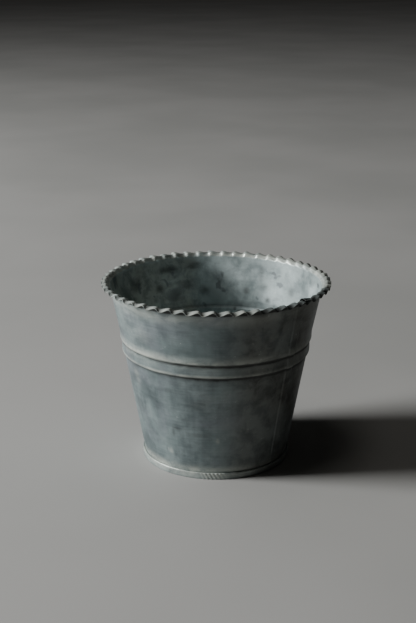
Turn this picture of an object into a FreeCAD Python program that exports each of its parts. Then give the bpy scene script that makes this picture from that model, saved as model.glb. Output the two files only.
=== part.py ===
import FreeCAD, Part
import math
import os

# Small conical pail of zinc-coated sheet, millimetres, +Z up.
# Origin: centre of the circle on which the foot seam rests.
V = FreeCAD.Vector
ORIGIN, UP = V(0, 0, 0), V(0, 0, 1)

# Sheet metal
SHEET = 0.4                 # thickness of both sheets
SEAM_GAP = 0.05             # clearance between sheets that lie on each other

# Wall cone, measured on its outer face
FOOT_RADIUS = 51.2          # straight part inside the foot seam
FOOT_TOP = 4.8              # height where the straight part turns into the cone
RIM_LEVEL = 126.7
CONE_TOP_RADIUS = 73.5      # cone below the beads, carried up to the level of the rim
TOP_RADIUS = 74.1           # the wall flares to this between the beads and the rim
FOOT_BEND = 3.0             # mid-line radius between foot and cone

# Swaged beads round the wall: a gentle slope out, then a sharp step back in.
# Corners before rounding: height, distance outside the cone, mid-line bend radius
BEAD_CORNERS = (
    (77.6, 0.0, 1.2),
    (79.4, 1.2, 1.0),       # lower crest
    (87.0, -0.2, 1.0),      # groove
    (88.7, 0.75, 1.2),      # upper crest
    (93.5, 0.0, 6.0),
)

# Fluted lip. Corners of its mid-line (r, z) in the trough between two flutes and on a flute
LIP_FOOT = 125.2            # the wall is plain up to this level
LIP_LOW = ((74.3, 126.2), (75.4, 126.95), (77.2, 127.6), (79.8, 125.8))
LIP_HIGH = ((74.15, 127.1), (74.9, 127.9), (77.2, 128.6), (80.0, 128.2))
FLUTE_COUNT = 50            # flutes between FIRST_CREST and LAST_CREST
FLUTE_DRIFT = 1.375         # they stand closer on one side of the rim, degrees
FLUTE_SKEW = 0.5            # each one falls more steeply on its far side
FLUTE_LAY = 1.2             # the lip edge trails its foot by this angle
END_PITCH = 5.5             # angle between the closer flutes in the lap
RAISED_START = 1.6          # the free start of the sheet stands this much higher

# Side seam, angles in degrees
SEAM_START = 317.2          # free edge of the inner layer
LAP_ANGLE = 4.6             # the outer layer reaches this far past it
JOGGLE_ANGLE = 1.5          # over which the sheet steps outward before the lap
FIRST_CREST = 4.6           # measured along the sheet from its start
LAST_CREST = 354.1
NOTCH_LEVEL = 6.0           # the outer layer is cut away below, clear of the foot seam
NOTCH_GAP = 0.15

# Foot seam: both sheets are folded into each other
SEAM_HEIGHT = 4.6
BODY_HOOK_TOP = 3.4
END_HOOK_BOTTOM = 1.25
FOLD_BEND = 0.3             # lower corners of the foot seam
PANEL_LEVEL = 4.2           # mid-plane of the bottom panel
PANEL_BEND = 0.8

# Solder
SOLDER_GAP = 0.04
SIDE_SOLDER_ANGLE = 0.9     # width of the run along the lap edge
SOLDER_TOP = 123.7          # it ends just under the lip
FILLET_WIDTH = 1.4          # reach of the inside fillet over the bottom panel
FILLET_TOP = 6.2

HALF = SHEET / 2
LAYER = SHEET + SEAM_GAP
LAP_START = 360 - JOGGLE_ANGLE
LAP_END = 360 + LAP_ANGLE


def wall_radius(z):
    """Mid-line radius of the plain cone at height z."""
    slope = (CONE_TOP_RADIUS - FOOT_RADIUS) / (RIM_LEVEL - FOOT_TOP)
    return FOOT_RADIUS - HALF + slope * (z - FOOT_TOP)


def flare_radius(z):
    """Mid-line radius of the wall between the beads and the lip."""
    low = BEAD_CORNERS[-1][0]
    share = (z - low) / (RIM_LEVEL - low)
    return wall_radius(low) * (1 - share) + (TOP_RADIUS - HALF) * share


def rounded_chain(path, shift):
    """Edges of a polyline of (r, z, bend radius), moved shift to its right."""
    points = [V(r, 0, z) for r, z, bend in path]
    ways = [(b - a).normalize() for a, b in zip(points, points[1:])]
    rights = [V(w.z, 0, -w.x) for w in ways]
    edges, last = [], points[0] + rights[0] * shift
    for i in range(1, len(points) - 1):
        bend = path[i][2]
        if not bend:
            continue
        turn = ways[i - 1].x * ways[i].z - ways[i - 1].z * ways[i].x
        radius = bend + shift * math.copysign(1, turn)
        middle = (rights[i - 1] + rights[i]).normalize()
        half_cos = middle * rights[i]
        corner = points[i] + middle * (shift / half_cos)
        reach = radius * math.sqrt(1 - half_cos ** 2) / half_cos
        start, end = corner - ways[i - 1] * reach, corner + ways[i] * reach
        inward = middle * -math.copysign(1, turn)
        top = corner + inward * (radius / half_cos - radius)
        if (start - last).Length > 1e-6:
            edges.append(Part.LineSegment(last, start).toShape())
        edges.append(Part.Arc(start, top, end).toShape())
        last = end
    finish = points[-1] + rights[-1] * shift
    edges.append(Part.LineSegment(last, finish).toShape())
    return edges


def band(path, left, right):
    """Closed wire between two sideways copies of a path, in the XZ plane."""
    one, two = rounded_chain(path, left), rounded_chain(path, right)
    caps = [Part.LineSegment(one[k].Vertexes[k].Point, two[k].Vertexes[k].Point).toShape()
            for k in (0, -1)]
    return Part.Wire(Part.__sortEdges__(one + [caps[1]] + two[::-1] + [caps[0]]))


def turned(shape, angle):
    copy = shape.copy()
    copy.rotate(ORIGIN, UP, angle)
    return copy


def swept(wire, start, end):
    """Solid made by turning a section about the axis from one angle to another."""
    return turned(Part.Face(wire), start).revolve(ORIGIN, UP, end - start)


def stepped(first, start, second, end):
    """Straight-sided solid between two sections at different angles."""
    return Part.makeLoft([turned(first, start), turned(second, end)], True, True)


def foot_path():
    """Wall sheet from the tip of its hook to the level of the notch."""
    body = FOOT_RADIUS - HALF
    hook = body + 2 * LAYER
    low = LAYER + HALF
    fold = LAYER
    return [(hook, BODY_HOOK_TOP, 0), (hook, low, fold), (body, low, fold),
            (body, FOOT_TOP, FOOT_BEND), (wall_radius(NOTCH_LEVEL), NOTCH_LEVEL, 0)]


def upper_path():
    """Wall sheet from the level of the notch to the foot of the lip."""
    path = [(wall_radius(NOTCH_LEVEL), NOTCH_LEVEL, 0)]
    path += [(wall_radius(z) + out, z, bend) for z, out, bend in BEAD_CORNERS]
    path.append((flare_radius(LIP_FOOT), LIP_FOOT, 0))
    return path


def lap_drop(u):
    """The last part of the sheet lies one layer lower, under its start."""
    return LAYER * min(max((u - LAP_START) / JOGGLE_ANGLE, 0), 1)


def ease(x):
    x = min(max(x, 0), 1)
    return x * x * (3 - 2 * x)


def flute(u):
    """How high the lip stands at the angle u of the sheet: 0 in a trough, 1 on a flute."""
    def drifted(v):
        return v + FLUTE_DRIFT * math.sin(math.radians(v + SEAM_START - 80))

    if u < FIRST_CREST:
        return 0.6 + 0.4 * u / FIRST_CREST
    if u < LAST_CREST:
        first, last = drifted(FIRST_CREST), drifted(LAST_CREST)
        turns = FLUTE_COUNT * (drifted(u) - first) / (last - first)
    else:
        turns = (u - LAST_CREST) / END_PITCH
    phase = lean = 2 * math.pi * turns
    for _ in range(20):
        lean = phase - FLUTE_SKEW * (math.cos(lean) - 1)
    return 0.5 + 0.5 * math.cos(lean)


def lip_section(u):
    """Corners of the mid-line of the lip, in the XZ plane, at the angle u."""
    lay = FLUTE_LAY * ease((u - LAP_ANGLE) / 9) * ease((355 - u) / 9)
    start = RAISED_START * max(1 - u / FIRST_CREST, 0)
    corners = [V(flare_radius(LIP_FOOT), 0, LIP_FOOT)]
    for k, (low, high) in enumerate(zip(LIP_LOW, LIP_HIGH)):
        inward = (3 - k) / 4
        share = flute(u + lay * inward)
        r, z = (a + (b - a) * share for a, b in zip(low, high))
        corners.append(V(r, 0, z + start * ease(2 - 2 * inward)))
    return corners


def lip_faces(u):
    """Both faces of the lip at the angle u: two rows of points in space."""
    corners = lip_section(u)
    below = V(flare_radius(LIP_FOOT - 1), 0, LIP_FOOT - 1)
    ways = [(b - a).normalize() for a, b in zip([below] + corners, corners)]
    rights = [V(w.z, 0, -w.x) for w in ways]
    mitres = [rights[0]]
    for one, two in zip(rights[1:], rights[2:] + rights[-1:]):
        mitres.append((one + two) / (1 + one * two))
    a = math.radians(SEAM_START + u)
    rows = []
    for shift in (lap_drop(u) - HALF, lap_drop(u) + HALF):
        moved = [corner + mitre * shift for corner, mitre in zip(corners, mitres)]
        rows.append([V(m.x * math.cos(a), m.x * math.sin(a), m.z) for m in moved])
    return rows


def fluted_lip(start, end, straight_foot=False):
    """Part of the fluted lip between two angles of the sheet."""
    count = max(8, int((end - start) / 0.6))
    angles = [start + (end - start) * k / count for k in range(count + 1)]
    outline = [upper + lower[::-1] for upper, lower in map(lip_faces, angles)]
    edges = []
    for k, line in enumerate(zip(*outline)):
        if straight_foot and k in (0, len(outline[0]) - 1):
            edges.append(Part.LineSegment(line[0], line[-1]).toShape())
            continue
        curve = Part.BSplineCurve()
        curve.interpolate(Points=list(line), Parameters=angles)
        edges.append(curve.toShape())
    faces = [Part.makeRuledSurface(a, b) for a, b in zip(edges, edges[1:] + edges[:1])]
    faces += [Part.Face(Part.makePolygon(end + end[:1])) for end in (outline[0], outline[-1])]
    shell = Part.makeShell(faces)
    shell.sewShape()
    return Part.makeSolid(shell)


def wall_sheet():
    """One sheet rolled into a cone, beaded, fluted at the lip, lapped at its ends."""
    foot, upper = foot_path(), upper_path()
    joint, lap = SEAM_START + LAP_START, SEAM_START + 360
    layer = band(upper, -HALF, HALF)
    outer_layer = band(upper, LAYER - HALF, LAYER + HALF)
    round_body = swept(band(foot[:-1] + upper, -HALF, HALF), SEAM_START, joint)
    pieces = [
        swept(band(foot, -HALF, HALF), joint, lap - NOTCH_GAP),
        stepped(layer, joint, outer_layer, lap),
        swept(outer_layer, lap, lap + LAP_ANGLE),
        fluted_lip(0, LAP_START),
        fluted_lip(LAP_START, 360, straight_foot=True),
        fluted_lip(360, LAP_END),
    ]
    return round_body.multiFuse(pieces)


def bottom_disc():
    """Inset bottom whose edge is folded round the foot of the wall."""
    chuck = FOOT_RADIUS - HALF - LAYER
    hook = FOOT_RADIUS - HALF + LAYER
    outside = hook + 2 * LAYER
    top = SEAM_HEIGHT - HALF
    path = [(0, PANEL_LEVEL, 0), (chuck, PANEL_LEVEL, PANEL_BEND), (chuck, HALF, FOLD_BEND),
            (outside, HALF, FOLD_BEND), (outside, top, LAYER), (hook, top, LAYER),
            (hook, END_HOOK_BOTTOM, 0)]
    return swept(band(path, -HALF, HALF), 0, 360)


def side_seam_solder():
    """Solder run along the free edge of the outer layer."""
    path = upper_path()[:-1] + [(flare_radius(SOLDER_TOP), SOLDER_TOP, 0)]
    start = SEAM_START + LAP_ANGLE + 0.03
    face = HALF + SOLDER_GAP
    return stepped(band(path, face, HALF + LAYER), start,
                   band(path, face, face + 0.06), start + SIDE_SOLDER_ANGLE)


def foot_solder():
    """Solder fillet that closes the groove between wall and bottom panel."""
    chuck = FOOT_RADIUS - HALF - LAYER
    centre = V(chuck - PANEL_BEND, 0, PANEL_LEVEL - PANEL_BEND)
    reach = PANEL_BEND + HALF + SOLDER_GAP
    wall = FOOT_RADIUS - SHEET - SOLDER_GAP
    low = math.asin((wall - centre.x) / reach) if wall - centre.x < reach else math.pi / 2
    on_arc = [centre + V(reach * math.sin(a), 0, reach * math.cos(a)) for a in (0, low / 2, low)]
    panel_end = on_arc[0] - V(FILLET_WIDTH - PANEL_BEND, 0, 0)
    wall_top = V(wall_radius(FILLET_TOP) - HALF - SOLDER_GAP - 0.02, 0, FILLET_TOP)
    wall_foot = V(wall, 0, FOOT_TOP - 0.4)
    corners = [on_arc[2], wall_foot, wall_top, panel_end, on_arc[0]]
    edges = [Part.Arc(*on_arc).toShape()]
    edges += [Part.LineSegment(a, b).toShape() for a, b in zip(corners, corners[1:])]
    return swept(Part.Wire(edges), 0, 360)


NODES = {
    "wall_sheet": wall_sheet,
    "bottom_disc": bottom_disc,
    "side_seam_solder": side_seam_solder,
    "foot_solder": foot_solder,
}

os.makedirs("parts", exist_ok=True)
for name, build in NODES.items():
    shape = build()
    shape.exportStep("parts/" + name + ".step")
    box = shape.BoundBox
    print(name, "valid", shape.isValid(), "solids", len(shape.Solids), "faces", len(shape.Faces),
          "volume", round(shape.Volume, 1), "z", round(box.ZMin, 3), round(box.ZMax, 3),
          "r", round(box.XMax, 3))
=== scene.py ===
import math
import random

import bmesh
import bpy
import numpy as np
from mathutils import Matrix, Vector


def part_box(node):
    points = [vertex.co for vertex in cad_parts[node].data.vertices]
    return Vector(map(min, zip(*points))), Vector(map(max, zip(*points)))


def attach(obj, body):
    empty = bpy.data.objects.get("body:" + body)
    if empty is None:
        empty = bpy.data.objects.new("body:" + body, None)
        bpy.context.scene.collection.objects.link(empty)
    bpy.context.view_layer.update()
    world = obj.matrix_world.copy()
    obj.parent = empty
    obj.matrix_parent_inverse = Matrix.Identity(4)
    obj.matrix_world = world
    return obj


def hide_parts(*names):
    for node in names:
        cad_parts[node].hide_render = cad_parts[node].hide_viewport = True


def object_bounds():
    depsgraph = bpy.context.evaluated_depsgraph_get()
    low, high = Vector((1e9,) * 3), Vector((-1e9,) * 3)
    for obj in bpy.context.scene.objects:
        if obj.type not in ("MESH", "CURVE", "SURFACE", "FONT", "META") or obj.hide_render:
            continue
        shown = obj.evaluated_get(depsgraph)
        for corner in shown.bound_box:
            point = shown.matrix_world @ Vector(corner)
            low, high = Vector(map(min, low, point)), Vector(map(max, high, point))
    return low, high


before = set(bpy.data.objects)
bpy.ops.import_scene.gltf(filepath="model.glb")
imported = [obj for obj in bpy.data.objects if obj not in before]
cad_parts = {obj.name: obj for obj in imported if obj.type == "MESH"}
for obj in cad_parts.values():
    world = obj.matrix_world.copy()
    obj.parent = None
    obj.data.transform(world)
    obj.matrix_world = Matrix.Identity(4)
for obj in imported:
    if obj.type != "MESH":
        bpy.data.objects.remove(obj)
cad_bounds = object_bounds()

MM = 0.001

# ---------------------------------------------------------------- dimensions, mm
# The sheet-metal dimensions repeat those of the CAD part; the outer radius and the height of
# the foot seam are read from its node.
FOOT_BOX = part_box("bottom_disc")
SEAM_OUTSIDE = FOOT_BOX[1].y / MM
SEAM_HEIGHT = FOOT_BOX[1].z / MM

SHEET = 0.4
SEAM_GAP = 0.05
LAYER = SHEET + SEAM_GAP
HALF = SHEET / 2
FOOT_RADIUS = SEAM_OUTSIDE - 3 * LAYER
FOOT_TOP = 4.8                          # the cone starts here
FOOT_BEND = 3.0
CONE_TOP_RADIUS = 73.5                  # of the cone at the level of the rim
RIM_LEVEL = 126.7
TOP_RADIUS = 74.1                       # of the flared wall at that level
# Corners of the two beads (z, distance from the cone, bend)
BEAD_CORNERS = (
    (77.6, 0.0, 1.2),
    (79.4, 1.2, 1.0),
    (87.0, -0.2, 1.0),
    (88.7, 0.75, 1.2),
    (93.5, 0.0, 6.0),
)
# Corners of the lip (r, z, bend) in the trough between two flutes and on top of a flute
LIP_LOW = ((73.64, 125.4, 1.5), (75.6, 127.0, 1.5), (77.2, 127.8, 1.4), (79.8, 125.8, 0))
LIP_HIGH = ((73.84, 126.4, 1.5), (74.9, 128.0, 1.5), (77.2, 128.8, 1.8), (80.0, 128.2, 0))

# Angles are in degrees: u runs along the sheet from its start, other angles round the axis.
SEAM_START = 317.2                      # where the sheet starts, round the axis
LAP_ANGLE = 4.6
JOGGLE_ANGLE = 1.5
LAP_START = 360 - JOGGLE_ANGLE
LAP_END = 360 + LAP_ANGLE
FIRST_CREST = 4.6
LAST_CREST = 354.1
FLUTE_COUNT = 50                        # steps from the first crest to the last
FLUTE_DRIFT = 1.375                     # flutes are wider apart on one side
FLUTE_LAY = 1.2                         # how far a flute leans round the rim
FLUTE_SKEW = 0.5                        # steeper on one side than on the other
END_PITCH = 5.5                         # spacing of the flutes after the last crest
RAISED_START = 1.6                      # how far the free end stands up, mm
NOTCH_LEVEL = 6.0                       # below it the sheet goes round without a lap
NOTCH_GAP = 0.15
BODY_HOOK_TOP = 3.4
END_HOOK_BOTTOM = 1.25
FOLD_BEND = 0.3
PANEL_LEVEL = 4.2
PANEL_BEND = 0.8
PANEL_TOP = 4.44                        # upper face of the panel, with room for the solder
PANEL_BEND_END = 3.4
SIDE_SOLDER_TOP = 123.7
SOLDER_GAP = 0.04                       # between solder and sheet

CHUCK = FOOT_RADIUS - HALF - LAYER      # inner fold of the foot seam
END_HOOK = FOOT_RADIUS - HALF + LAYER
BODY_HOOK = FOOT_RADIUS - HALF + 2 * LAYER
SEAM_FACE = FOOT_RADIUS - HALF + 3 * LAYER

# ---------------------------------------------------------------- signs of use, painted highlight and painted shade
HIGHLIGHT_SIDE = 217                      # worn pale ridges and painted highlight show most here, degrees round the axis
LEAST_SHADE_SIDE = 214                        # the painted shade under the beads is weakest here
SHADE_MIDDLE = 312                       # middle of the strip of painted shade outside, on the side turned from the light
SHADE_REACH, SHADE_FADE = 32, 22          # half its width, and the width of its soft edge
SHADE_INSIDE_FROM, SHADE_INSIDE_TO = 96, 255          # part of the inside painted darker as shade
SEAM_REACH = 32                         # the lip is painted darker as shade, rougher and less pale this far from the seam
PRESS_MARKS_AT = 267                    # slanted press marks in the foot seam
PRESS_MARK_PITCH = 2.7                  # mm
MARK_RADIUS = 66                        # turns degrees into mm for the marks on the wall
SKIN_RADIUS = 62                        # mean radius, for streaks that follow the sheet
ROUND_STRETCH = 60                      # lets streaks close without a join on a ring
NONE, ALL = np.zeros((1, 1)), np.ones((1, 1))   # one value for the whole face of a sheet

# ---------------------------------------------------------------- mesh density
ROW_STEP = 1.5                          # longest step along the section, mm
LIP_ROWS = 46
WALL_COLUMNS = 1400
BOTTOM_COLUMNS = 1080
SHARP_EDGE = 48                         # degrees

# ---------------------------------------------------------------- camera
CAMERA_PLACE = (-0.0056, -0.8, 0.3552)
CAMERA_PITCH = 72.61                    # degrees from straight down
CAMERA_LENS = 68.94
CAMERA_SENSOR = 36                      # mm, along the long side


# ---------------------------------------------------------------- small maths
def smooth(x):
    """0 below 0, 1 above 1, and an even curve between them."""
    x = np.clip(x, 0, 1)
    return x * x * (3 - 2 * x)


def bump(x, centre, width):
    """A bell curve, 1 high."""
    return np.exp(-((x - centre) / width) ** 2)


def turn_gap(a, b):
    """Signed difference of two angles in degrees."""
    return (np.asarray(a) - b + 180) % 360 - 180


def waves(seed, count, low, high):
    """A repeatable sum of sines round the axis, about 1 high."""
    rng = random.Random(seed)
    terms = [(rng.randint(low, high), rng.uniform(0, 2 * math.pi), rng.uniform(0.5, 1))
             for _ in range(count)]
    norm = math.sqrt(sum(a * a for _, _, a in terms) / 2) * 1.6

    def value(degrees):
        t = np.radians(degrees)
        return sum(a * np.sin(n * t + p) for n, p, a in terms) / norm
    return value


def wall_radius(z):
    """Radius of the plain cone, at the middle of the sheet."""
    slope = (CONE_TOP_RADIUS - FOOT_RADIUS) / (RIM_LEVEL - FOOT_TOP)
    return FOOT_RADIUS - HALF + slope * (z - FOOT_TOP)


def rounded(corners, longest):
    """Samples along a polyline of (r, z, bend): points, right-hand normals, lengths.

    Also gives the length at the middle of each corner."""
    points = np.array([c[:2] for c in corners], float)
    ways = np.diff(points, axis=0)
    ways /= np.linalg.norm(ways, axis=1)[:, None]
    out, normals, corner_at = [], [], [0.0]
    last = points[0]

    def add(point, way):
        out.append(point)
        normals.append((way[1], -way[0]))

    def line(a, b, way):
        count = max(1, math.ceil(np.linalg.norm(b - a) / longest))
        for k in range(count):
            add(a + (b - a) * k / count, way)

    for i in range(1, len(corners) - 1):
        before, after, bend = ways[i - 1], ways[i], corners[i][2]
        turn = math.atan2(before[0] * after[1] - before[1] * after[0], before @ after)
        reach = bend * math.tan(abs(turn) / 2)
        start = points[i] - before * reach
        if np.linalg.norm(start - last) > 1e-6:
            line(last, start, before)
        count = max(2, math.ceil(abs(turn) / math.radians(11)))
        side = math.copysign(1, turn)
        centre = start + np.array((-before[1], before[0])) * side * bend
        for k in range(count):
            a = turn * k / count
            way = np.array((before[0] * math.cos(a) - before[1] * math.sin(a),
                            before[0] * math.sin(a) + before[1] * math.cos(a)))
            add(centre + np.array((way[1], -way[0])) * side * bend, way)
        corner_at.append(len(out) - count / 2)
        last = points[i] + after * reach
    line(last, points[-1], ways[-1])
    add(points[-1], ways[-1])
    out, normals = np.array(out), np.array(normals)
    lengths = np.concatenate(([0], np.cumsum(np.linalg.norm(np.diff(out, axis=0), axis=1))))
    corner_at = np.interp(corner_at + [len(out) - 1], np.arange(len(out)), lengths)
    return out, normals, lengths, corner_at


# ---------------------------------------------------------------- shape of the used object
flute_size = waves(11, 7, 3, 31)
flute_shift = waves(12, 6, 2, 17)
rim_wander = waves(13, 5, 2, 9)
rim_droop = waves(14, 4, 1, 5)
# Marks and dents are (angle, height, width, tall, amount), in degrees and mm. A positive
# mark is dark; a positive dent stands out.
OUTSIDE_MARKS = (
    (258, 57, 8, 4, 0.45), (262, 60, 4, 2, 0.3), (242, 37.5, 3.8, 1.1, 0.9),
    (239, 34, 1.5, 3, 0.8), (235, 18, 2.4, 2.0, -0.5), (231, 19, 1.0, 2.2, 0.4),
    (257, 34, 8, 1.4, 0.55), (223, 103, 9, 6, -0.15), (210, 69, 4, 7, -0.30),
    (271, 30, 1.8, 1.8, -0.45), (250, 97, 7, 2.5, 0.3), (238, 66, 9, 1.6, 0.3),
    (246, 72, 8, 1.4, 0.25), (247, 45, 6, 1.2, 0.3),
)
INSIDE_MARKS = (
    (127, 105, 3.2, 2.8, 0.9), (103, 119, 5, 2.6, 1.0), (97, 100, 4, 3.2, 0.8),
    (70, 101, 2.8, 2.6, 1.0), (61, 115, 2.2, 6, 0.6), (59, 105, 4, 2.6, 0.6),
    (37, 106, 3.6, 3.6, 0.5), (54.5, 96, 2.4, 2.2, 0.8), (107, 106, 7, 4, 0.45),
    (145, 112, 5, 5, 0.7), (120, 118, 7, 2.4, 0.8), (160, 100, 6, 7, 0.5),
    (86, 109, 6, 4, 0.35), (115, 98, 6, 5, 0.5), (49, 117, 3, 3, 0.3),
)
PLACED_DENTS = (
    (236, 38, 3.0, 2.2, -0.30), (239, 41, 4.0, 1.8, 0.14), (229, 22, 2.4, 3.6, -0.22),
    (232, 26, 2.0, 2.6, 0.12), (226, 52, 2.6, 4.2, -0.16), (279, 32, 2.4, 3.4, -0.12),
)


def scattered_dents():
    """Small dents all over the wall, below the beads and above them."""
    rng = random.Random(5)
    dents = []
    for count, lowest, highest, tallest, deepest in ((46, 12, 74, 9, -0.13),
                                                     (22, 96, 120, 8, -0.12)):
        for _ in range(count):
            dents.append((rng.uniform(0, 360), rng.uniform(lowest, highest),
                          rng.uniform(3, 9), rng.uniform(3, tallest),
                          rng.uniform(deepest, 0.05)))
    return dents


DENTS = scattered_dents() + list(PLACED_DENTS)


def dented(radius, angle, z):
    """Radius of the used, not quite round wall at an angle and height."""
    high = np.clip(z / RIM_LEVEL, 0, 1)
    moved = radius + 0.22 * high ** 1.5 * np.cos(np.radians(2 * angle + 35))
    moved = moved + 0.10 * high * (1 - high) * 4 * np.cos(np.radians(5 * angle + 80) + z / 31)
    moved = moved + 0.035 * high * np.cos(np.radians(17 * angle) + z / 13)
    for at, level, width, tall, depth in DENTS:
        across = np.radians(turn_gap(angle, at)) * radius
        moved = moved + depth * np.exp(-(across / width) ** 2 - ((z - level) / tall) ** 2)
    return moved


def marks(places, angle, z):
    """How dark the soft marks in a list make each point; pale ones count below 0."""
    total = 0 * angle * z
    for at, level, width, tall, amount in places:
        across = np.radians(turn_gap(angle, at)) * MARK_RADIUS
        total = total + amount * np.exp(-((across / width) ** 2 + ((z - level) / tall) ** 2) ** 1.5)
    return total


def wear_and_highlight_side(angle):
    """How strongly worn pale ridges with their painted highlight show at an angle, 0.22 to 1."""
    return 0.22 + 0.78 * (0.5 + 0.5 * np.cos(np.radians(angle - HIGHLIGHT_SIDE))) ** 2.3


def shade_strip(angle):
    """Painted shade outside, near the side seam on the side turned from the light, 0 to 1."""
    return smooth((SHADE_REACH - np.abs(turn_gap(angle, SHADE_MIDDLE))) / SHADE_FADE + 0.5)


def flute_height(u):
    """How high the lip is at the angle u along the sheet: 0 in a trough, 1 on a flute."""
    def drifted(v):
        return v + FLUTE_DRIFT * np.sin(np.radians(v + SEAM_START - 80))

    first, last = drifted(FIRST_CREST), drifted(LAST_CREST)
    turns = FLUTE_COUNT * (drifted(u) - first) / (last - first)
    turns = np.where(u > LAST_CREST, FLUTE_COUNT + (u - LAST_CREST) / END_PITCH, turns)
    loose = smooth((u - 8) / 20) * smooth((348 - u) / 20)
    turns = turns + 0.05 * loose * flute_shift(u)
    phase = 2 * np.pi * turns
    lean = phase
    for _ in range(25):
        lean = phase - FLUTE_SKEW * (np.cos(lean) - 1)
    wave = (0.5 + 0.5 * np.cos(lean)) ** 1.1 * (1 + 0.12 * loose * flute_size(u))
    return np.where(u < FIRST_CREST, 0.6 + 0.4 * u / FIRST_CREST, wave)


def lap_drop(u):
    """How far the lap stands outside the start of the sheet."""
    return LAYER * smooth((u - LAP_START) / JOGGLE_ANGLE)


# ---------------------------------------------------------------- meshes
def unit(v):
    return v / np.maximum(np.linalg.norm(v, axis=-1, keepdims=True), 1e-12)


def sheet_mesh(name, mid, half, skin, masks, keep=None, closed=False, pole=False):
    """Closed mesh of a thin sheet from a grid of points (rows, columns, 3) in mm.

    masks maps an attribute to its grids on the right-hand face and on the other face."""
    rows, cols = mid.shape[:2]
    if closed:
        across = np.roll(mid, -1, 1) - np.roll(mid, 1, 1)
    else:
        across = np.gradient(mid, axis=1)
    if pole:
        across = across.copy()
        across[0] = across[1]
    normal = unit(np.cross(across, np.gradient(mid, axis=0)))
    if pole:
        normal[0] = unit(normal[0].mean(axis=0))
    half = np.broadcast_to(np.asarray(half, float), (rows, cols))[..., None]
    verts = np.concatenate(((mid + normal * half).reshape(-1, 3),
                            (mid - normal * half).reshape(-1, 3))) * MM
    if keep is None:
        keep = np.ones((rows - 1, cols if closed else cols - 1), bool)
    ids = np.arange(rows * cols).reshape(rows, cols)
    nxt = np.roll(ids, -1, 1) if closed else ids[:, 1:]
    this = ids if closed else ids[:, :-1]
    quad = np.stack((this[:-1], nxt[:-1], nxt[1:], this[1:]), -1)
    front = quad[keep]
    back = front[:, ::-1] + rows * cols
    padded = np.pad(keep, ((1, 1), (0, 0) if closed else (1, 1)))
    if closed:
        left, right = np.roll(keep, 1, 1), np.roll(keep, -1, 1)
        down, up = padded[:-2], padded[2:]
    else:
        left, right = padded[1:-1, :-2], padded[1:-1, 2:]
        down, up = padded[:-2, 1:-1], padded[2:, 1:-1]
    sides = []
    for neighbour, (a, b) in ((down, (0, 1)), (right, (1, 2)), (up, (2, 3)), (left, (3, 0))):
        open_edge = keep & ~neighbour
        if pole and neighbour is down:
            open_edge[0] = False
        edge = quad[open_edge][:, (a, b)]
        sides.append(np.stack((edge[:, 1], edge[:, 0], edge[:, 0] + rows * cols,
                               edge[:, 1] + rows * cols), -1))
    faces = np.concatenate([front, back] + sides)
    used = np.unique(faces)
    new_id = np.zeros(2 * rows * cols, int)
    new_id[used] = np.arange(used.size)
    mesh = bpy.data.meshes.new(name)
    mesh.vertices.add(used.size)
    mesh.vertices.foreach_set("co", verts[used].astype(np.float32).ravel())
    mesh.loops.add(faces.size)
    mesh.loops.foreach_set("vertex_index", new_id[faces].ravel().astype(np.int32))
    mesh.polygons.add(len(faces))
    mesh.polygons.foreach_set("loop_start", np.arange(0, faces.size, 4, dtype=np.int32))
    mesh.update(calc_edges=True)
    skin_values = np.concatenate([skin.reshape(-1, 3)] * 2)
    skin_values[rows * cols:, 2] += 1
    store(mesh, "skin", skin_values[used], "FLOAT_VECTOR")
    for key, (right_face, other_face) in masks.items():
        grids = [np.broadcast_to(g, (rows, cols)).ravel() for g in (right_face, other_face)]
        store(mesh, key, np.concatenate(grids)[used], "FLOAT")
    if pole:
        work = bmesh.new()
        work.from_mesh(mesh)
        bmesh.ops.remove_doubles(work, verts=work.verts, dist=1e-7)
        work.to_mesh(mesh)
        work.free()
    return finish_mesh(name, mesh)


def store(mesh, key, values, kind):
    attribute = mesh.attributes.new(key, kind, "POINT")
    field = "vector" if kind == "FLOAT_VECTOR" else "value"
    attribute.data.foreach_set(field, np.ascontiguousarray(values, np.float32).ravel())


def finish_mesh(name, mesh):
    mesh.validate()
    mesh.polygons.foreach_set("use_smooth", np.ones(len(mesh.polygons), bool))
    mesh.set_sharp_from_angle(angle=math.radians(SHARP_EDGE))
    piece = bpy.data.objects.new(name, mesh)
    bpy.context.scene.collection.objects.link(piece)
    return piece


def on_circle(radius, angle, z):
    t = np.radians(angle)
    return np.stack((radius * np.cos(t), radius * np.sin(t), z + 0 * t), -1)


# Numbers of the corners in the wall's section
FOOT_CORNER, LOW_CREST, GROOVE, HIGH_CREST, LIP_CORNER = 3, 5, 6, 7, 9


def wall_corners(lip):
    """Section of the wall sheet from the hook in the foot seam up to the given lip."""
    low = LAYER + HALF
    body = FOOT_RADIUS - HALF
    corners = [(BODY_HOOK, BODY_HOOK_TOP, 0), (BODY_HOOK, low, LAYER), (body, low, LAYER),
               (body, FOOT_TOP, FOOT_BEND)]
    corners += [(wall_radius(z) + out, z, bend) for z, out, bend in BEAD_CORNERS]
    return corners + list(lip)


def resampled(curve, plain, start):
    """Points and normals at the plain rows and at even steps over the lip."""
    points, normals, lengths, _ = curve
    rows = np.concatenate((plain, np.linspace(start, lengths[-1], LIP_ROWS)))
    return [np.stack([np.interp(rows, lengths, v[:, k]) for k in (0, 1)], 1)
            for v in (points, unit(normals))], rows


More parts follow.
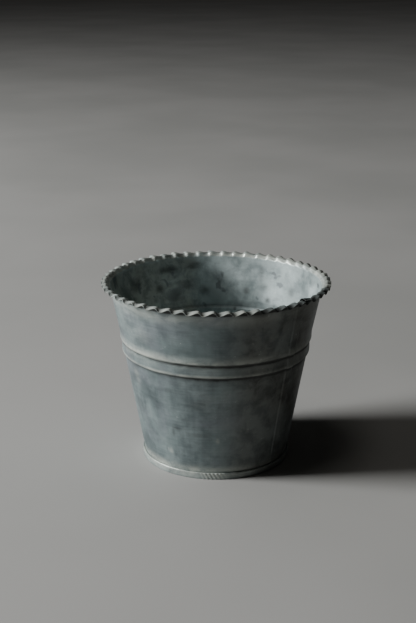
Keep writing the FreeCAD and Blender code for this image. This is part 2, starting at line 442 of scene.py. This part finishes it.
def wall_masks(angle, z, along, share, corner_at):
    """Where the outside and the inside of the wall are worn, dirty, painted with highlight and
    painted with shade.

    Places and widths are mm along the section, counted from the beads, the bend of the lip
    and its edge."""
    s = along[:, None]
    crest_low, groove, crest_high = corner_at[[LOW_CREST, GROOVE, HIGH_CREST]]
    bend, edge = corner_at[LIP_CORNER] + 1, along[-1]
    near_seam = smooth((SEAM_REACH - np.abs(turn_gap(angle, SEAM_START))) / 8)
    marked = marks(OUTSIDE_MARKS, angle[None, :], z)

    # Pale on the beads, under the lip and above the foot: worn zinc and painted highlight,
    # strongest on the side towards the light.
    ridges = (0.9 * bump(s, crest_low, 0.9) + 0.9 * bump(s, crest_high + 0.5, 1.2)
              + 0.40 * bump(s, crest_high + 2.6, 2.2) + 0.15 * bump(s, crest_low + 4, 3.5)
              + 0.25 * bump(s, groove, 2.5) + 0.45 * bump(s, bend - 5.5, 4.5)
              + 0.9 * bump(s, corner_at[FOOT_CORNER] + 1, 3.0))
    # Pale lip edge: worn zinc and painted highlight, left off near the seam, where the lip is in
    # shade.
    lip_edge = smooth((s - edge + 5.5) / 2) * (1 - 0.85 * near_seam)
    wear_and_highlight_out = ridges * wear_and_highlight_side(angle) + lip_edge + np.maximum(-marked, 0)

    # Painted shade on the top of the wall, under the lip.
    under_lip = 1.7 * smooth((s - bend + 3.2) / 1.4) * smooth((edge - 0.4 - s) / 1.2)
    # Painted shade on the under-slopes of the beads, weaker on the side towards the light.
    bead_lines = (1.8 * bump(s, crest_low - 1.9, 1.4) + 2.0 * bump(s, crest_high - 1.8, 1.4)
                  + 0.35 * bump(s, crest_low - 4, 2.4))
    bead_lines = bead_lines * (1 - 0.6 * bump(turn_gap(angle, LEAST_SHADE_SIDE), 0, 40))
    # Dark outside: the painted shade above, painted shade on the lip near the seam, and the dark
    # marks.
    grime_and_shade_out = (under_lip + bead_lines + 0.8 * near_seam * smooth((s - bend) / 1.5)
                 + np.maximum(marked, 0))

    # Pale inner lip: worn zinc and painted highlight, left off near the seam.
    wear_and_highlight_in = smooth((s - bend + 1.4) / 1.2) * (1 - 0.85 * near_seam)
    # Dark inside: the bead grooves, painted shade on the lip near the seam and in the troughs
    # between flutes, and the dark marks.
    grime_and_shade_in = (0.8 * bump(s, crest_low, 1.2) + 0.6 * bump(s, crest_high, 1.2)
                + 1.1 * near_seam * smooth((s - bend - 1) / 1.5)
                + 1.1 * (1 - share) ** 2 * smooth((s - bend - 1.2) / 1.2)
                + marks(INSIDE_MARKS, angle[None, :], z))

    steep = np.abs(np.gradient(share, axis=1))
    cut = smooth(2.2 * steep / steep.max() - 0.9) * smooth((s - edge + 1.0) / 0.7)
    # Painted shade on the back and left of the inside, below the lip.
    shaded_inside = sum(smooth((angle - turn - SHADE_INSIDE_FROM) / 12) * smooth((SHADE_INSIDE_TO + turn - angle) / 40)
                  for turn in (0, 360))
    return {"wear_and_highlight": (wear_and_highlight_out * (1 - cut), wear_and_highlight_in * (1 - cut)),
            "grime_and_shade": (grime_and_shade_out + 0.8 * cut, grime_and_shade_in + 0.8 * cut),
            "inside": (NONE, ALL),
            "painted_shade": (shade_strip(angle), 0.85 * shaded_inside * smooth((bend - s) / 3))}


def build_wall():
    """The wall sheet once round and over its own start, with the fluted lip."""
    trough, crest = (rounded(wall_corners(lip), ROW_STEP) for lip in (LIP_LOW, LIP_HIGH))
    corner_at = trough[3]
    start = corner_at[LIP_CORNER] - 2.2
    plain = trough[2][trough[2] < start - 0.3]
    (profile, normals), along = resampled(trough, plain, start)
    crest_profile = resampled(crest, plain, start)[0][0]
    u = np.linspace(0, LAP_END, WALL_COLUMNS)
    angle = SEAM_START + u

    grown = np.clip((along - start) / (along[-1] - start), 0, 1)[:, None]
    lay = FLUTE_LAY * smooth((u - LAP_ANGLE) / 9) * smooth((355 - u) / 9)
    share = flute_height(u + lay * (1 - grown))
    raised = RAISED_START * smooth(2 * grown) * np.clip(1 - u / FIRST_CREST, 0, 1)
    drop = lap_drop(u)[None, :] * smooth((profile[:, 1:] - NOTCH_LEVEL + 1) / 2)
    r, z = (low[:, None] * (1 - share) + high[:, None] * share + side[:, None] * drop
            for low, high, side in zip(profile.T, crest_profile.T, normals.T))
    z = z + raised
    above = profile[:, 1:] > FOOT_TOP
    dent = np.where(above, dented(r, angle[None, :], z) - r, 0) * smooth((z - FOOT_TOP) / 8)
    from_seam = np.minimum(u, 360 - np.minimum(u, 360)) / 12
    r = r + dent * smooth(from_seam)
    r = r + grown ** 2 * (0.12 * rim_wander(u) - 0.2)
    z = z + grown ** 2 * 0.2 * rim_droop(u)
    mid = on_circle(r, angle[None, :], z)

    row_z = profile[:, 1]
    in_seam = (row_z[:-1] < NOTCH_LEVEL) & (row_z[1:] < NOTCH_LEVEL + 1)
    keep = ~(in_seam[:, None] & (u[1:] > 360 - NOTCH_GAP)[None, :])

    skin = np.zeros(mid.shape)
    skin[..., 0] = np.radians(u)[None, :] * SKIN_RADIUS * MM
    skin[..., 1] = along[:, None] * MM
    masks = wall_masks(angle, z, along, share, corner_at)
    return sheet_mesh("wall_sheet_visual", mid, HALF, skin, masks, keep=keep)


def build_bottom():
    """The bottom panel with the fold round the foot."""
    corners = [(0, PANEL_LEVEL, 0), (CHUCK, PANEL_LEVEL, PANEL_BEND), (CHUCK, HALF, FOLD_BEND),
               (SEAM_FACE, HALF, FOLD_BEND), (SEAM_FACE, SEAM_HEIGHT - HALF, LAYER),
               (END_HOOK, SEAM_HEIGHT - HALF, LAYER), (END_HOOK, END_HOOK_BOTTOM, 0)]
    profile, _, lengths, corner_at = rounded(corners, 1.2)
    angle = np.arange(0, 360, 360 / BOTTOM_COLUMNS)
    r, z = profile[:, :1] + 0 * angle, profile[:, 1:] + 0 * angle
    face = smooth((r - SEAM_FACE + 0.5) / 0.3)
    pressed = bump(turn_gap(angle, PRESS_MARKS_AT), 0, 8)
    ripple = np.sin(np.radians(angle) * SEAM_FACE * 2 * math.pi / PRESS_MARK_PITCH + z * 1.3)
    wobble = 0.05 * waves(21, 6, 5, 40)(angle) * smooth(z / 2)
    r = r + face * ((pressed * 0.15 + 0.012) * ripple + wobble)
    z = z + 0.08 * waves(22, 5, 4, 30)(angle) * face * smooth((z - 1.5) / 2)
    warp = 0.10 * smooth(r / 15) * np.cos(r / 9) * np.sin(np.radians(angle) * 2 + 1)
    z = z + np.where(r < CHUCK - 2, warp, 0)
    s = lengths[:, None]
    panel_end, _, face_foot, face_top, hook_top = corner_at[1:6]
    ticks = face * pressed
    # Pale shoulders of the foot seam: worn zinc and painted highlight, strongest on the side
    # towards the light.
    ridges = (0.7 * bump(s, face_top - 0.4, 2.1) + 0.4 * bump(s, face_foot + 1.2, 1.5)
              + 0.5 * bump(s, hook_top - 0.4, 0.6))
    wear_and_highlight = ridges * wear_and_highlight_side(angle) + 0.9 * ticks * smooth(ripple)
    grime_and_shade = (0.7 * ticks * smooth(-ripple) + 0.2 * bump(s, hook_top + 0.8, 0.5)
             + 0.5 * bump(s, panel_end, 1.5))
    mid = on_circle(r, angle, z)
    flat = s <= panel_end
    skin = np.stack((mid[..., 0], np.where(flat, mid[..., 1], s),
                     np.where(flat, 0, ROUND_STRETCH * mid[..., 1])), -1) * MM
    # The face of the foot seam takes the strip of painted shade.
    masks = {"wear_and_highlight": (wear_and_highlight, 0.2 * grime_and_shade), "grime_and_shade": (0.4 * grime_and_shade, grime_and_shade),
             "inside": (NONE, ALL), "painted_shade": (0.8 * shade_strip(angle) * face, NONE)}
    return sheet_mesh("bottom_disc_visual", mid, HALF, skin, masks, closed=True, pole=True)


def build_side_solder():
    """Uneven run of solder against the free edge of the outer layer."""
    corners = wall_corners(LIP_LOW)[FOOT_CORNER:-len(LIP_LOW)]
    corners[0] = (wall_radius(NOTCH_LEVEL), NOTCH_LEVEL, 0)
    bead_end = BEAD_CORNERS[-1][0]
    share = (SIDE_SOLDER_TOP - bead_end) / (RIM_LEVEL - bead_end)
    last = corners[-1][0]
    corners.append((last + share * (TOP_RADIUS - HALF - last), SIDE_SOLDER_TOP, 0))
    profile, normals, lengths, _ = rounded(corners, 0.8)
    across = np.linspace(0, 1, 8)[None, :]
    uneven = 1 + 0.25 * np.sin(lengths / 2.1) * np.sin(lengths / 5.3 + 1)
    height = (0.06 + (LAYER - 0.12) * (1 - across) ** 1.6) * (0.9 + 0.1 * uneven[:, None])
    width = 0.95 * uneven[:, None]
    angle = SEAM_START + LAP_ANGLE + 0.03 + across * width
    lift = HALF + SOLDER_GAP + height / 2
    r = profile[:, :1] + normals[:, :1] * lift
    z = profile[:, 1:] + normals[:, 1:] * lift
    skin = np.zeros(r.shape + (3,))
    skin[..., 0] = np.radians(angle) * SKIN_RADIUS * MM
    skin[..., 1] = lengths[:, None] * MM
    # The side solder is painted dark as shade all over.
    masks = {"wear_and_highlight": (NONE, NONE), "grime_and_shade": (NONE, NONE), "inside": (NONE, NONE),
             "painted_shade": (ALL, ALL)}
    return sheet_mesh("side_seam_solder_visual", on_circle(r, angle, z), height / 2, skin, masks)


def build_foot_solder():
    """Uneven fillet between wall and bottom panel, all the way round."""
    angle = np.arange(0, 360, 0.5)
    grow = 1 + 0.22 * waves(31, 9, 5, 70)(angle) + 0.12 * waves(32, 6, 60, 120)(angle)
    even = 0 * grow
    reach = PANEL_BEND + HALF + SOLDER_GAP
    centre = CHUCK - PANEL_BEND
    loop = [(centre + reach * math.sin(t) + even, PANEL_BEND_END + reach * math.cos(t) + even)
            for t in np.linspace(0, 1.4, 6)]
    loop.append((FOOT_RADIUS - SHEET - SOLDER_GAP + even, 4.4 + even))
    top_z = 4.6 + 1.5 * grow
    top_r = wall_radius(top_z) - HALF - 0.06
    inner = centre - 0.6 * grow
    loop.append((top_r, top_z))
    for t in np.linspace(0.2, 0.8, 4):
        sag = 0.30 * math.sin(math.pi * t)
        loop.append((top_r * (1 - t) + inner * t - sag,
                     top_z * (1 - t) + PANEL_TOP * t - sag * 0.6))
    loop.append((inner, PANEL_TOP + even))
    r = np.stack([p[0] for p in loop])
    z = np.maximum(np.stack([p[1] for p in loop]), PANEL_BEND_END)
    mid = on_circle(r, angle, z) * MM
    count, cols = r.shape
    ids = np.arange(count * cols).reshape(count, cols)
    nxt = np.roll(ids, -1, 1)
    quads = np.stack((ids, np.roll(ids, -1, 0), np.roll(nxt, -1, 0), nxt), -1).reshape(-1, 4)
    mesh = bpy.data.meshes.new("foot_solder_visual")
    mesh.from_pydata(mid.reshape(-1, 3).tolist(), [], quads.tolist())
    skin = mid[..., (0, 1, 1)] * (1, 0, ROUND_STRETCH)
    skin[..., 1] = np.arange(count)[:, None] * MM
    store(mesh, "skin", skin.reshape(-1, 3), "FLOAT_VECTOR")
    for key, value in (("wear_and_highlight", 0.35), ("grime_and_shade", 0.15), ("inside", 1.0), ("painted_shade", 0.0)):
        store(mesh, key, np.full(count * cols, value), "FLOAT")
    return finish_mesh("foot_solder_visual", mesh)


# ---------------------------------------------------------------- materials
class Graph:
    """A few short calls for building a node material."""

    def __init__(self, name):
        self.material = bpy.data.materials.new(name)
        self.material.use_nodes = True
        self.tree = self.material.node_tree
        self.shader = self.tree.nodes["Principled BSDF"]

    def add(self, kind, settings=(), **inputs):
        made = self.tree.nodes.new(kind)
        for key, value in dict(settings).items():
            setattr(made, key, value)
        for key, value in inputs.items():
            self.put(made.inputs[key.replace("_", " ")], value)
        return made

    def put(self, socket, value):
        if isinstance(value, bpy.types.NodeSocket):
            self.tree.links.new(value, socket)
        else:
            socket.default_value = value

    def attribute(self, name):
        return self.add("ShaderNodeAttribute", {"attribute_name": name})

    def scaled(self, vector, by):
        made = self.add("ShaderNodeVectorMath", {"operation": "MULTIPLY"})
        self.put(made.inputs[0], vector)
        self.put(made.inputs[1], by)
        return made.outputs[0]

    def noise(self, vector, scale, detail=4, rough=0.55, warp=0.0):
        made = self.add("ShaderNodeTexNoise", Vector=vector, Scale=scale, Detail=detail,
                        Roughness=rough, Distortion=warp)
        return made.outputs[0]

    def math(self, kind, a, b=0.0, clamp=False):
        made = self.add("ShaderNodeMath", {"operation": kind, "use_clamp": clamp})
        self.put(made.inputs[0], a)
        self.put(made.inputs[1], b)
        return made.outputs[0]

    def window(self, value, low, high, out_low=0.0, out_high=1.0):
        made = self.add("ShaderNodeMapRange", {"interpolation_type": "SMOOTHSTEP"})
        for k, v in enumerate((value, low, high, out_low, out_high)):
            self.put(made.inputs[k], v)
        return made.outputs[0]

    def mix(self, factor, a, b):
        made = self.add("ShaderNodeMix", {"data_type": "RGBA"})
        self.put(made.inputs[0], factor)
        self.put(made.inputs[6], a)
        self.put(made.inputs[7], b)
        return made.outputs[2]

    def ramp(self, value, stops):
        made = self.add("ShaderNodeValToRGB")
        self.put(made.inputs[0], value)
        band = made.color_ramp
        while len(band.elements) < len(stops):
            band.elements.new(0.5)
        for element, (place, colour) in zip(band.elements, stops):
            element.position = place
            element.color = colour
        return made.outputs[0]

    def sum(self, *weighted):
        total = None
        for value, weight in weighted:
            part = self.math("MULTIPLY", value, weight)
            total = part if total is None else self.math("ADD", total, part)
        return total


def rgb(r, g, b, brightness=1.0):
    return (r * brightness, g * brightness, b * brightness, 1.0)


def zinc(name, brightness=1.0, seed=0.0):
    """Old zinc coating: cloudy blue-grey patina, pale on ridges from worn zinc and painted
    highlight, dark in grooves from soiling and painted shade, with a film of painted shade where
    set.
    """
    g = Graph(name)
    place = g.add("ShaderNodeTexCoord").outputs["Object"]
    moved = g.add("ShaderNodeVectorMath", {"operation": "ADD"})
    g.put(moved.inputs[0], place)
    g.put(moved.inputs[1], (seed, seed * 0.7, seed * 0.3))
    place = moved.outputs[0]
    skin = g.attribute("skin").outputs["Vector"]
    wear_and_highlight = g.attribute("wear_and_highlight").outputs["Fac"]
    grime_and_shade = g.attribute("grime_and_shade").outputs["Fac"]
    inside = g.attribute("inside").outputs["Fac"]

    cloud = g.noise(place, 24, 5, 0.55, 0.4)
    mottle = g.noise(place, 85, 6, 0.62, 0.3)
    grain = g.noise(place, 620, 5, 0.6)
    rolled = g.noise(g.scaled(skin, (26, 620, 1)), 1, 4, 0.6)
    runs = g.noise(g.scaled(skin, (260, 22, 1)), 1, 4, 0.55)
    smear = g.noise(g.scaled(skin, (70, 150, 1)), 1, 6, 0.65, 0.6)

    tone = g.sum((cloud, 0.36), (mottle, 0.26), (smear, 0.16), (rolled, 0.12), (runs, 0.10))
    patina = g.ramp(tone, [(0.36, rgb(0.088, 0.116, 0.122, brightness)),
                           (0.46, rgb(0.150, 0.188, 0.196, brightness)),
                           (0.54, rgb(0.235, 0.284, 0.290, brightness)),
                           (0.66, rgb(0.370, 0.425, 0.420, brightness))])
    tint = g.window(g.noise(place, 42, 3, 0.5), 0.42, 0.66)
    patina = g.mix(g.math("MULTIPLY", tint, 0.35), patina, rgb(0.215, 0.285, 0.285, brightness))
    lilac = g.window(g.noise(place, 33, 3, 0.5, 0.5), 0.52, 0.70)
    patina = g.mix(g.math("MULTIPLY", lilac, 0.30), patina, rgb(0.27, 0.285, 0.325, brightness))

    pale = g.mix(g.window(cloud, 0.38, 0.62), rgb(0.37, 0.430, 0.428), rgb(0.62, 0.710, 0.710))
    inner = g.math("MULTIPLY", inside, g.window(mottle, 0.32, 0.60, 0.45, 0.92))
    colour = g.mix(inner, patina, pale)
    spots = g.window(g.noise(place, 105, 2, 0.4, 0.2), 0.635, 0.70)
    spots = g.math("MULTIPLY", spots, g.window(g.noise(place, 20, 2), 0.40, 0.52))
    spots = g.math("MULTIPLY", spots, g.window(inside, 0, 1, 0.25, 0.75))
    # Painted shade: a dark film laid over the colour where the attribute for it is set.
    shade_film = g.mix(inside, rgb(0.045, 0.047, 0.041), rgb(0.10, 0.105, 0.088))
    thin = g.mix(inside, rgb(0.135, 0.142, 0.131), rgb(0.34, 0.352, 0.30))
    shade_film = g.mix(g.window(mottle, 0.36, 0.62), shade_film, thin)
    painted_shade = g.attribute("painted_shade").outputs["Fac"]
    painted_shade = g.math("MULTIPLY", painted_shade, g.window(cloud, 0.3, 0.6, 1.0, 0.75))
    colour = g.mix(painted_shade, colour, shade_film)
    colour = g.mix(spots, colour, rgb(0.11, 0.125, 0.135))

    # Pale from worn zinc and from painted highlight.
    worn_and_highlighted = g.math("MULTIPLY", wear_and_highlight, g.window(smear, 0.30, 0.62, 0.25, 1.0), clamp=True)
    colour = g.mix(g.math("MULTIPLY", worn_and_highlighted, 0.85), colour, rgb(0.67, 0.700, 0.635))
    flecks = g.window(g.noise(place, 240, 5, 0.7), 0.63, 0.70)
    flecks = g.math("MULTIPLY", flecks, g.window(mottle, 0.45, 0.62))
    colour = g.mix(g.math("MULTIPLY", flecks, 0.45), colour, rgb(0.62, 0.64, 0.62))
    # Dark from soiling and from painted shade.
    dirt_and_shade = g.math("MULTIPLY", grime_and_shade, g.window(smear, 0.25, 0.65, 1.0, 0.55), clamp=True)
    colour = g.mix(g.math("MULTIPLY", dirt_and_shade, 0.94), colour, rgb(0.030, 0.032, 0.030))
    g.put(g.shader.inputs["Base Color"], colour)

    rough = g.sum((mottle, 0.35), (rolled, 0.20), (grain, 0.15))
    rough = g.window(rough, 0.25, 0.46, 0.40, 0.64)
    rough = g.math("ADD", rough, g.math("MULTIPLY", dirt_and_shade, 0.25))
    rough = g.math("SUBTRACT", rough, g.math("MULTIPLY", worn_and_highlighted, 0.10), clamp=True)
    g.put(g.shader.inputs["Roughness"], rough)
    metal = g.window(g.math("ADD", tone, g.math("MULTIPLY", dirt_and_shade, 0.3)), 0.40, 0.70, 0.38, 0.18)
    g.put(g.shader.inputs["Metallic"], metal)

    relief = g.sum((mottle, 0.35), (rolled, 0.22), (grain, 0.18), (smear, 0.25))
    lift = g.add("ShaderNodeBump", Strength=0.35, Distance=0.0005, Height=relief)
    g.put(g.shader.inputs["Normal"], lift.outputs[0])
    return g.material


def floor_material():
    g = Graph("pale_floor")
    place = g.add("ShaderNodeTexCoord").outputs["Object"]
    soft = g.noise(place, 3, 3, 0.5)
    colour = g.mix(g.window(soft, 0.3, 0.7), rgb(0.43, 0.425, 0.41), rgb(0.49, 0.48, 0.465))
    g.put(g.shader.inputs["Base Color"], colour)
    g.shader.inputs["Roughness"].default_value = 0.85
    return g.material


# ---------------------------------------------------------------- assembly
def place_piece(piece, node, material):
    piece.data.materials.append(material)
    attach(piece, "root")
    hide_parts(node)


def build_studio():
    bpy.ops.mesh.primitive_plane_add(size=12, location=(0, 2, cad_bounds[0][2]))
    floor = bpy.context.object
    floor.name = "floor"
    floor.data.materials.append(floor_material())

    world = bpy.data.worlds.new("studio")
    world.use_nodes = True
    background = world.node_tree.nodes["Background"]
    background.inputs["Color"].default_value = rgb(0.90, 0.87, 0.82)
    background.inputs["Strength"].default_value = 0.014
    bpy.context.scene.world = world

    def softbox(name, place, aim, size, power, colour):
        data = bpy.data.lights.new(name, "AREA")
        data.shape = "RECTANGLE"
        data.size, data.size_y = size
        data.energy = power
        data.color = colour
        lamp = bpy.data.objects.new(name, data)
        lamp.location = place
        way = np.array(aim) - np.array(place)
        lamp.rotation_euler = (math.atan2(math.hypot(way[0], way[1]), -way[2]), 0,
                               math.atan2(way[1], way[0]) - math.pi / 2)
        bpy.context.scene.collection.objects.link(lamp)

    softbox("key", (-2.93, -0.22, 1.38), (0, 0, 0.07), (0.9, 1.2), 156, (0.975, 0.99, 0.985))
    softbox("top", (-0.5, -0.35, 2.6), (0, 0, 0.05), (0.8, 0.8), 3.5, (1.0, 0.98, 0.92))


def build_camera():
    data = bpy.data.cameras.new("camera")
    data.lens = CAMERA_LENS
    data.sensor_width = CAMERA_SENSOR
    data.clip_start = 0.01
    camera = bpy.data.objects.new("camera", data)
    camera.location = CAMERA_PLACE
    camera.rotation_euler = (math.radians(CAMERA_PITCH), 0, 0)
    bpy.context.scene.collection.objects.link(camera)
    bpy.context.scene.camera = camera


place_piece(build_wall(), "wall_sheet", zinc("wall_zinc_patina"))
place_piece(build_bottom(), "bottom_disc", zinc("bottom_zinc_patina", 1.1, 0.4))
solder = zinc("dull_solder", 0.8, 0.9)
place_piece(build_side_solder(), "side_seam_solder", solder)
place_piece(build_foot_solder(), "foot_solder", solder)
build_studio()
build_camera()
